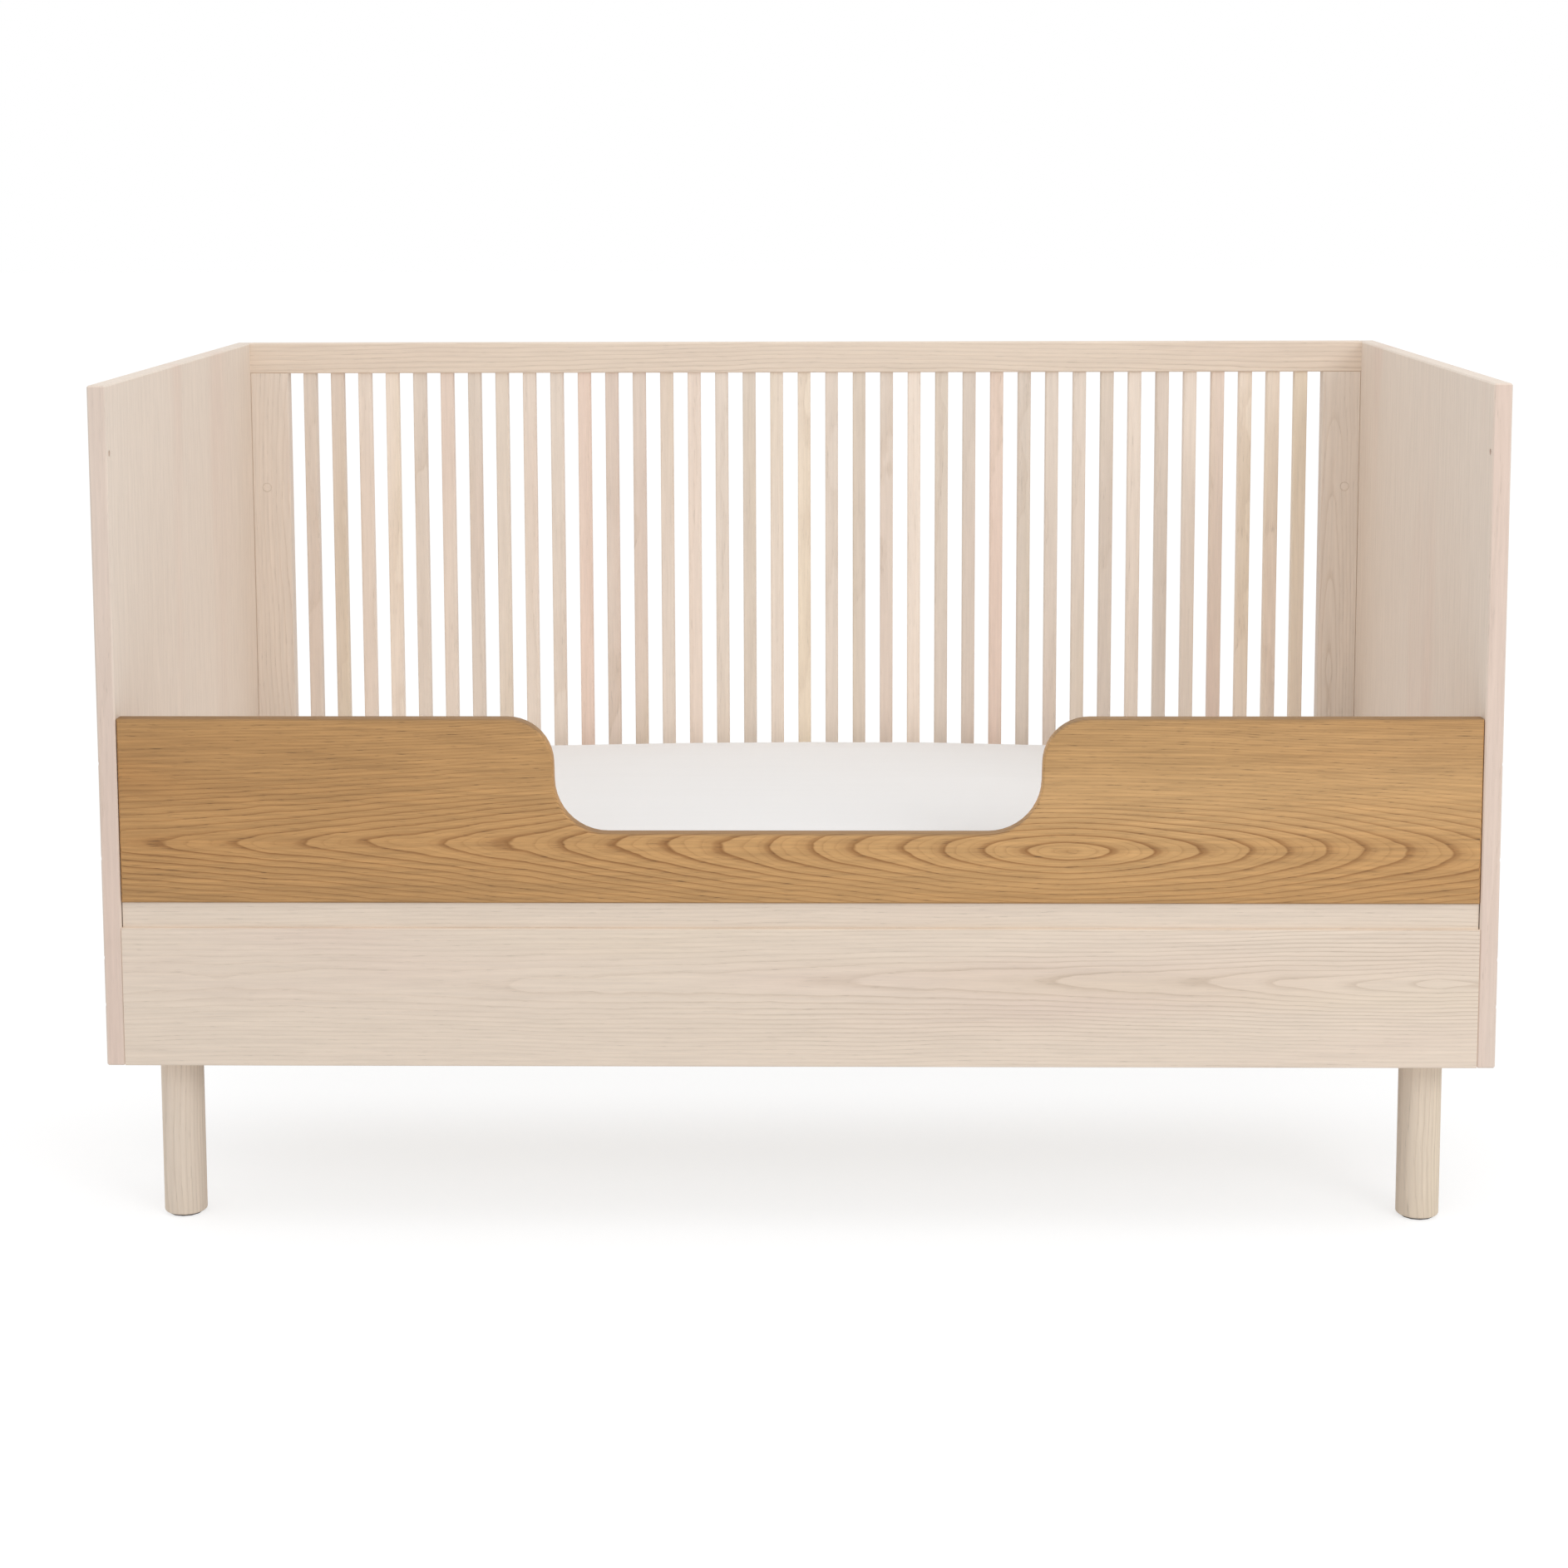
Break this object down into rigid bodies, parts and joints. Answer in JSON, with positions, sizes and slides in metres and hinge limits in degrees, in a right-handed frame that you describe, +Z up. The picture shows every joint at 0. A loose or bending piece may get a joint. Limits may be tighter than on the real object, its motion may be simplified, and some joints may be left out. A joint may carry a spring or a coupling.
{
  "type": "baby crib",
  "caption": "Low-front wooden cot bed with solid end panels, a slatted back, a contrasting guard with a climb-in cut-out, round legs and a mattress.",
  "frame": {"origin": "on the floor, under the middle of the bed", "axes": "+X along the bed to its right end seen from the front, +Y to the slatted back, +Z up; the low front looks along -Y"},
  "size_m": [1.442, 0.768, 0.89],
  "materials": {
    "whitewashed_ash": "matt whitewash on pale ash",
    "oiled_oak": "satin oil on oak",
    "birch_slat": "planed, unfinished",
    "beech_dowel": "fluted, unfinished",
    "cotton_sheet": "woven cotton",
    "zinc_steel": "zinc plated",
    "grey_plastic": "moulded"
  },
  "bodies": {
    "bed_frame": {"back_apron": "whitewashed_ash", "back_bottom_rail": "whitewashed_ash", "back_slats": "whitewashed_ash", "back_stile_left": "whitewashed_ash", "back_stile_right": "whitewashed_ash", "back_top_rail": "whitewashed_ash", "barrel_nuts": "zinc_steel", "connector_bolts": "zinc_steel", "corner_block_back_left": "whitewashed_ash", "corner_block_back_right": "whitewashed_ash", "corner_block_front_left": "whitewashed_ash", "corner_block_front_right": "whitewashed_ash", "end_panel_left": "whitewashed_ash", "end_panel_right": "whitewashed_ash", "frame_dowels": "beech_dowel", "front_apron": "whitewashed_ash", "front_batten": "whitewashed_ash", "hook_bolts": "zinc_steel", "hook_inserts": "zinc_steel", "leg_back_left": "whitewashed_ash", "leg_back_right": "whitewashed_ash", "leg_bolts": "zinc_steel", "leg_front_left": "whitewashed_ash", "leg_front_right": "whitewashed_ash", "leg_glides": "grey_plastic", "leg_inserts": "zinc_steel", "nut_caps": "whitewashed_ash", "toddler_guard": "oiled_oak"},
    "mattress_base": {"base_end_rail_left": "whitewashed_ash", "base_end_rail_right": "whitewashed_ash", "base_side_rail_back": "whitewashed_ash", "base_side_rail_front": "whitewashed_ash", "base_slat_01": "birch_slat", "base_slat_02": "birch_slat", "base_slat_03": "birch_slat", "base_slat_04": "birch_slat", "base_slat_05": "birch_slat", "base_slat_06": "birch_slat", "base_slat_07": "birch_slat", "base_slat_08": "birch_slat", "base_slat_09": "birch_slat", "base_slat_10": "birch_slat", "base_slat_11": "birch_slat", "base_slat_12": "birch_slat", "base_slat_13": "birch_slat", "base_slat_14": "birch_slat"},
    "mattress": {"mattress": "cotton_sheet"}
  },
  "joints": [
    {"name": "base_height", "type": "slide", "parent": "bed_frame", "child": "mattress_base", "axis": [0, 0, 1], "range_m": [0, 0.2]},
    {"name": "mattress_lift", "type": "slide", "parent": "mattress_base", "child": "mattress", "axis": [0, 0, 1], "range_m": [0, 0.62]}
  ]
}
